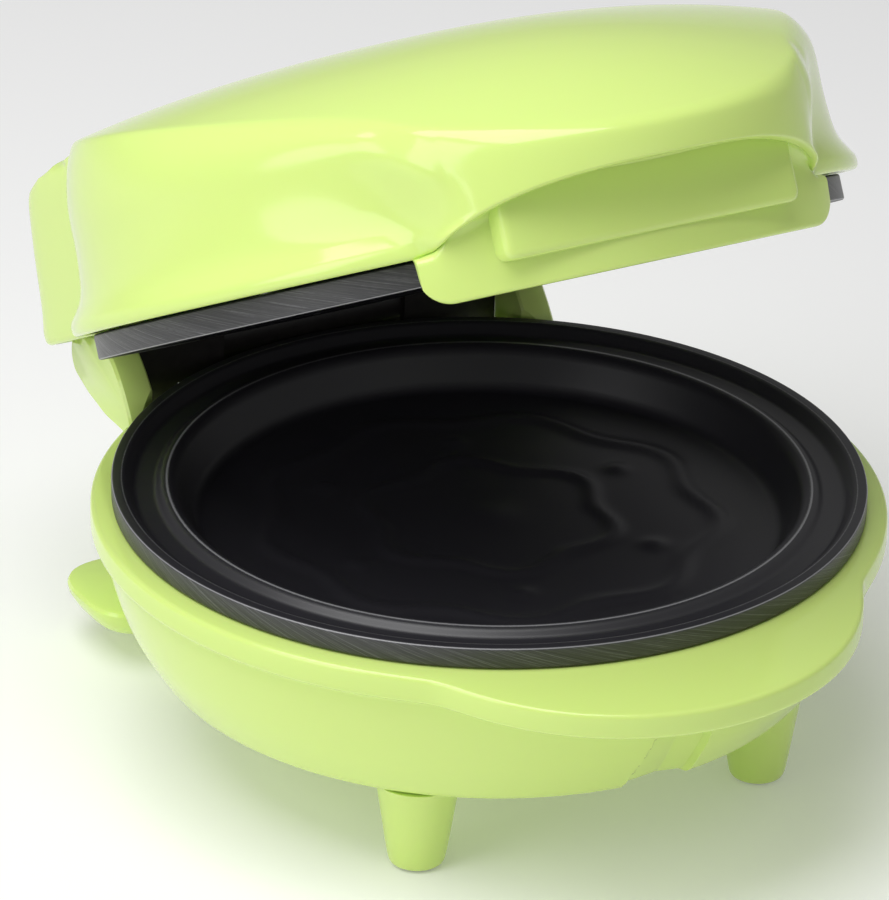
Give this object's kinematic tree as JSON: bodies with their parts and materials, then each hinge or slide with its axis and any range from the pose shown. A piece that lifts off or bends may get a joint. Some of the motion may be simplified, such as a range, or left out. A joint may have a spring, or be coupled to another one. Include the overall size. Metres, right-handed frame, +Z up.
{
  "type": "mini cake maker",
  "caption": "Round hinged two-plate mini cake maker with a lime plastic shell, non-stick plates, front lip, finger recess and short conical feet.",
  "frame": {"origin": "on the table under the middle of the object's box, with the lid at its rest angle; the plates' centre is 2.8 mm in front of it", "axes": "+Z up, -Y towards the front lip and finger recess, +Y towards the hinge, +X to the right seen from the front"},
  "size_m": [0.1792, 0.219, 0.1814],
  "materials": {
    "lime_shell": "high-gloss lime green moulded plastic",
    "plate_coating": "speckled charcoal non-stick coating on cast metal",
    "element_sheath": "heat-darkened steel sheath",
    "steel": "zinc-plated steel",
    "shield": "pressed bright aluminium sheet",
    "rubber": "matt black rubber",
    "ceramic": "unglazed cream ceramic",
    "bakelite": "dark brown moulded resin",
    "sleeve": "woven glass-fibre sleeve"
  },
  "bodies": {
    "base": {"base_housing": "lime_shell", "bottom_cover": "lime_shell", "rear_stand": "lime_shell", "cord_bush": "rubber", "foot_pad_1": "rubber", "foot_pad_2": "rubber", "foot_pad_3": "rubber", "foot_pad_4": "rubber", "lower_baking_plate": "plate_coating", "lower_heating_element": "element_sheath", "lower_element_clamp": "steel", "lower_clamp_screw": "steel", "lower_heat_shield": "shield", "lower_plate_screw_1": "steel", "lower_plate_screw_2": "steel", "lower_plate_screw_3": "steel", "cover_screw_1": "steel", "cover_screw_2": "steel", "cover_screw_3": "steel", "thermostat": "bakelite", "thermal_fuse": "ceramic", "terminal_block": "ceramic", "base_lead": "sleeve", "hinge_pin_left": "steel", "hinge_pin_right": "steel", "hinge_guard": "bakelite"},
    "lid": {"lid_housing": "lime_shell", "upper_baking_plate": "plate_coating", "upper_heating_element": "element_sheath", "upper_element_clamp": "steel", "upper_clamp_screw": "steel", "upper_heat_shield": "shield", "shield_screw_1": "steel", "shield_screw_2": "steel", "shield_screw_3": "steel", "upper_plate_screw_1": "steel", "upper_plate_screw_2": "steel", "upper_plate_screw_3": "steel", "lid_lead": "sleeve"}
  },
  "joints": [
    {"name": "lid_hinge", "type": "hinge", "parent": "base", "child": "lid", "pos_m": [0, 0.0892, 0.0662], "axis": [-1, 0, 0], "range_deg": [-28, 68]}
  ]
}
